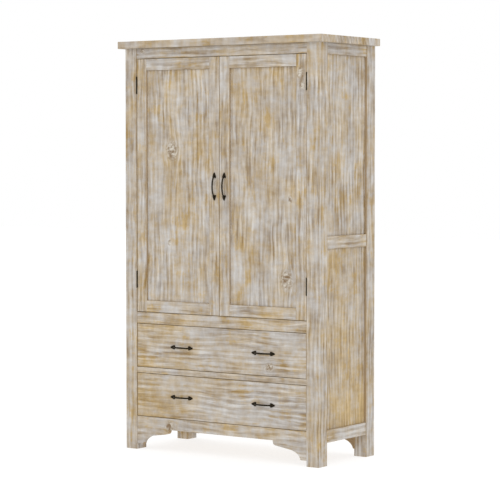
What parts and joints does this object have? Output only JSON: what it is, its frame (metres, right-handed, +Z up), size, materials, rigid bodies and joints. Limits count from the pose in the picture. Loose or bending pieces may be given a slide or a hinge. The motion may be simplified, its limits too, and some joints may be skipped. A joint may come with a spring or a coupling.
{
  "type": "armoire",
  "caption": "Solid-wood armoire with framed doors hung on butt hinges over full-width drawers, between posts that stand to the floor under an overhanging top.",
  "frame": {"origin": "bottom centre of the whole cabinet's box, on the floor", "axes": "+Z up, +X to the right and +Y to the back for someone who faces the doors"},
  "size_m": [1.071, 0.464, 1.8],
  "materials": {
    "washed_wood": "solid wood, brushed, with a worn off-white wash over tan, matt",
    "inner_wood": "plain sanded wood, unwashed, matt",
    "black_iron": "forged and blackened, waxed satin"
  },
  "bodies": {
    "carcass": {"back_apron": "washed_wood", "back_panel": "inner_wood", "back_top_rail": "washed_wood", "cupboard_floor": "inner_wood", "drawer_divider": "washed_wood", "drawer_web_frame_lower": "inner_wood", "drawer_web_frame_upper": "inner_wood", "front_apron": "washed_wood", "header_rail": "washed_wood", "hinge_bottom_left_post_leaf": "black_iron", "hinge_bottom_right_post_leaf": "black_iron", "hinge_top_left_post_leaf": "black_iron", "hinge_top_right_post_leaf": "black_iron", "post_front_left": "washed_wood", "post_front_right": "washed_wood", "post_rear_left": "washed_wood", "post_rear_right": "washed_wood", "shelf": "inner_wood", "side_bottom_rail_left": "washed_wood", "side_bottom_rail_right": "washed_wood", "side_lower_panel_left": "washed_wood", "side_lower_panel_right": "washed_wood", "side_mid_rail_left": "washed_wood", "side_mid_rail_right": "washed_wood", "side_top_rail_left": "washed_wood", "side_top_rail_right": "washed_wood", "side_upper_panel_left": "washed_wood", "side_upper_panel_right": "washed_wood", "top_board": "washed_wood", "waist_rail": "washed_wood"},
    "left_door": {"door_left_bottom_rail": "washed_wood", "door_left_hinge_stile": "washed_wood", "door_left_meeting_stile": "washed_wood", "door_left_panel": "washed_wood", "door_left_pull": "black_iron", "door_left_top_rail": "washed_wood", "hinge_bottom_left_door_leaf": "black_iron", "hinge_top_left_door_leaf": "black_iron"},
    "right_door": {"door_right_bottom_rail": "washed_wood", "door_right_hinge_stile": "washed_wood", "door_right_meeting_stile": "washed_wood", "door_right_panel": "washed_wood", "door_right_pull": "black_iron", "door_right_top_rail": "washed_wood", "hinge_bottom_right_door_leaf": "black_iron", "hinge_top_right_door_leaf": "black_iron"},
    "upper_drawer": {"drawer_upper_back": "inner_wood", "drawer_upper_bottom": "inner_wood", "drawer_upper_front": "washed_wood", "drawer_upper_pull_left": "black_iron", "drawer_upper_pull_right": "black_iron", "drawer_upper_side_left": "inner_wood", "drawer_upper_side_right": "inner_wood"},
    "lower_drawer": {"drawer_lower_back": "inner_wood", "drawer_lower_bottom": "inner_wood", "drawer_lower_front": "washed_wood", "drawer_lower_pull_left": "black_iron", "drawer_lower_pull_right": "black_iron", "drawer_lower_side_left": "inner_wood", "drawer_lower_side_right": "inner_wood"}
  },
  "joints": [
    {"name": "left_door_hinge", "type": "hinge", "parent": "carcass", "child": "left_door", "pos_m": [-0.449, -0.2066, 1.167], "axis": [0, 0, -1], "range_deg": [0, 115]},
    {"name": "right_door_hinge", "type": "hinge", "parent": "carcass", "child": "right_door", "pos_m": [0.449, -0.2066, 1.167], "axis": [0, 0, 1], "range_deg": [0, 115]},
    {"name": "upper_drawer_slide", "type": "slide", "parent": "carcass", "child": "upper_drawer", "axis": [0, -1, 0], "range_m": [0, 0.3]},
    {"name": "lower_drawer_slide", "type": "slide", "parent": "carcass", "child": "lower_drawer", "axis": [0, -1, 0], "range_m": [0, 0.3]}
  ]
}
